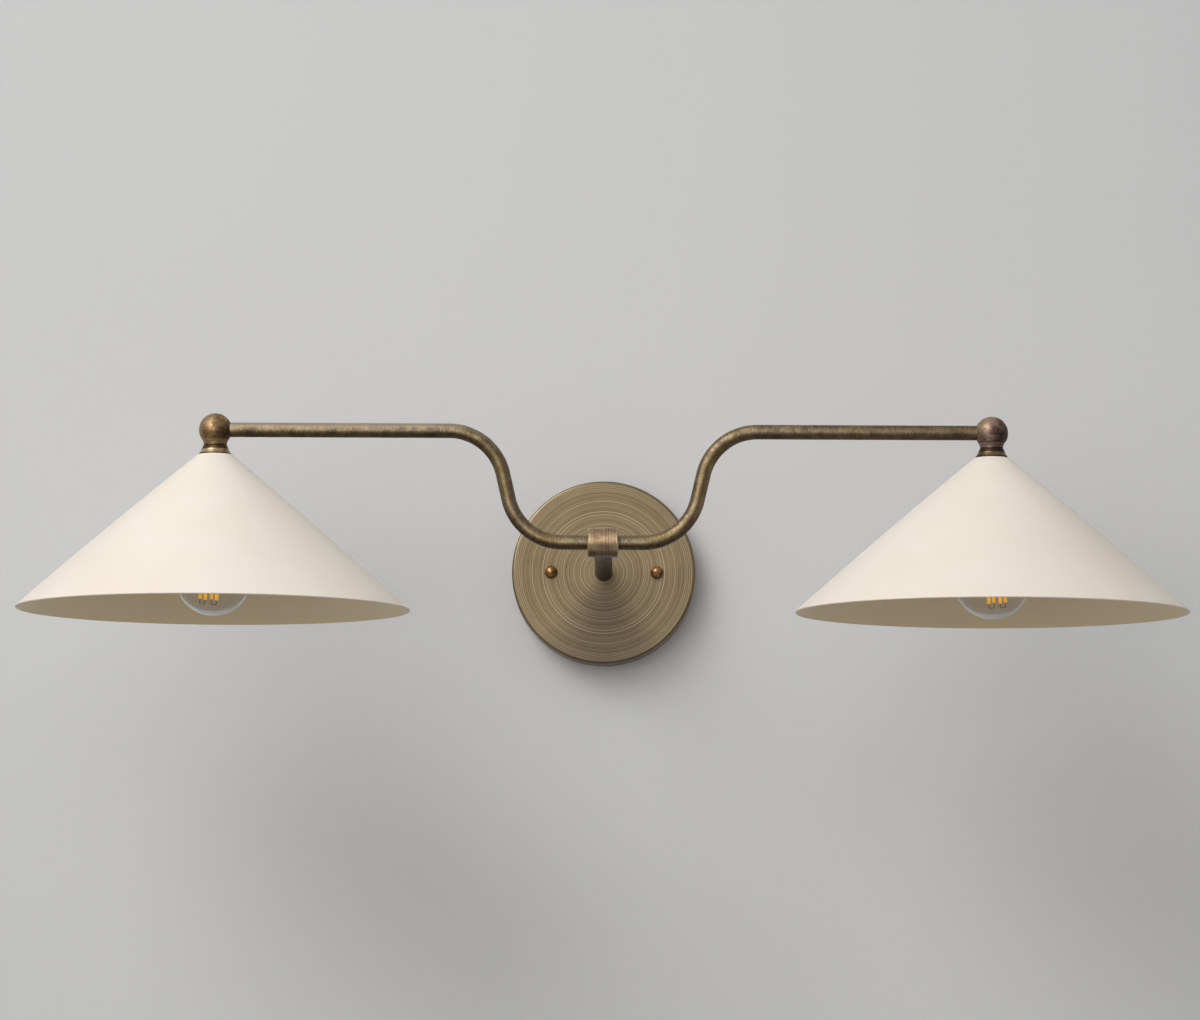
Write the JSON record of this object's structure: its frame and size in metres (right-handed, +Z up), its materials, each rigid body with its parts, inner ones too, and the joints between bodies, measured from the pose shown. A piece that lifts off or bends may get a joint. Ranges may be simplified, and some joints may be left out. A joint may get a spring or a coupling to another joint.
{
  "type": "double arm wall sconce",
  "caption": "Wall sconce: round backplate, short stem and tee, S-bent arms out to balls, each with a cone shade over a clear globe bulb.",
  "frame": {"origin": "centre of the backplate on the wall plane", "axes": "+X to the right along the arms, +Y into the wall, +Z up"},
  "size_m": [0.7558, 0.3683, 0.1464],
  "materials": {
    "plate_brass": "aged, turned rings",
    "stem_brass": "aged, brushed",
    "tee_brass": "aged, brushed round",
    "arm_brass": "aged, brushed round",
    "ball_bronze": "dark aged",
    "collar_brass": "aged, worn bright",
    "nut_bronze": "coppery, worn",
    "shade_cream": "smooth semi-matte paint",
    "clear_glass": "clear",
    "filament_yellow": "phosphor coated",
    "support_wire": "bright wire",
    "base_nickel": "nickel plated",
    "solder_grey": "solder",
    "insulator_black": "vitreous black",
    "socket_black": "moulded phenolic",
    "raw_brass": "plain",
    "zinc_steel": "zinc plated",
    "tinned_copper": "tinned",
    "earth_green": "green",
    "lead_black": "insulated wire",
    "lead_white": "insulated wire",
    "lead_green": "insulated wire",
    "connector_orange": "moulded"
  },
  "bodies": {
    "fixture": {"mounting_bracket": "zinc_steel", "bracket_studs": "zinc_steel", "stud_locknuts": "zinc_steel", "earth_screw": "earth_green", "earth_ring": "tinned_copper", "earth_lead": "lead_green", "backplate": "plate_brass", "live_connector": "connector_orange", "neutral_connector": "connector_orange", "pipe_lock_washer": "zinc_steel", "pipe_locknut": "raw_brass", "stem_pipe": "zinc_steel", "stem_tube": "stem_brass", "tee_body": "tee_brass", "left_arm": "arm_brass", "left_arm_ball": "ball_bronze", "left_shade_collar": "collar_brass", "left_shade": "shade_cream", "left_head_nipple": "zinc_steel", "left_shade_washer": "zinc_steel", "left_shade_locknut": "raw_brass", "left_socket_cap": "socket_black", "left_socket_body": "socket_black", "left_screw_shell": "raw_brass", "left_centre_contact": "raw_brass", "left_terminal_screws": "raw_brass", "left_live_lead": "lead_black", "left_neutral_lead": "lead_white", "right_arm": "arm_brass", "right_arm_ball": "ball_bronze", "right_shade_collar": "collar_brass", "right_shade": "shade_cream", "right_head_nipple": "zinc_steel", "right_shade_washer": "zinc_steel", "right_shade_locknut": "raw_brass", "right_socket_cap": "socket_black", "right_socket_body": "socket_black", "right_screw_shell": "raw_brass", "right_centre_contact": "raw_brass", "right_terminal_screws": "raw_brass", "right_live_lead": "lead_black", "right_neutral_lead": "lead_white"},
    "left_ball_nut": {"left_ball_nut": "nut_bronze"},
    "right_ball_nut": {"right_ball_nut": "nut_bronze"},
    "left_bulb": {"left_bulb_contact": "solder_grey", "left_bulb_insulator": "insulator_black", "left_bulb_screw_base": "base_nickel", "left_bulb_glass": "clear_glass", "left_bulb_stem_glass": "clear_glass", "left_bulb_filaments": "filament_yellow", "left_bulb_support_wires": "support_wire"},
    "right_bulb": {"right_bulb_contact": "solder_grey", "right_bulb_insulator": "insulator_black", "right_bulb_screw_base": "base_nickel", "right_bulb_glass": "clear_glass", "right_bulb_stem_glass": "clear_glass", "right_bulb_filaments": "filament_yellow", "right_bulb_support_wires": "support_wire"}
  },
  "joints": [
    {"name": "left_bulb_slide", "type": "slide", "parent": "fixture", "child": "left_bulb", "axis": [0, 0, -1], "range_m": [0, 0.08]},
    {"name": "right_bulb_slide", "type": "slide", "parent": "fixture", "child": "right_bulb", "axis": [0, 0, -1], "range_m": [0, 0.08]},
    {"name": "left_ball_nut_slide", "type": "slide", "parent": "fixture", "child": "left_ball_nut", "axis": [0, -1, 0], "range_m": [0, 0.012]},
    {"name": "right_ball_nut_slide", "type": "slide", "parent": "fixture", "child": "right_ball_nut", "axis": [0, -1, 0], "range_m": [0, 0.012]}
  ]
}
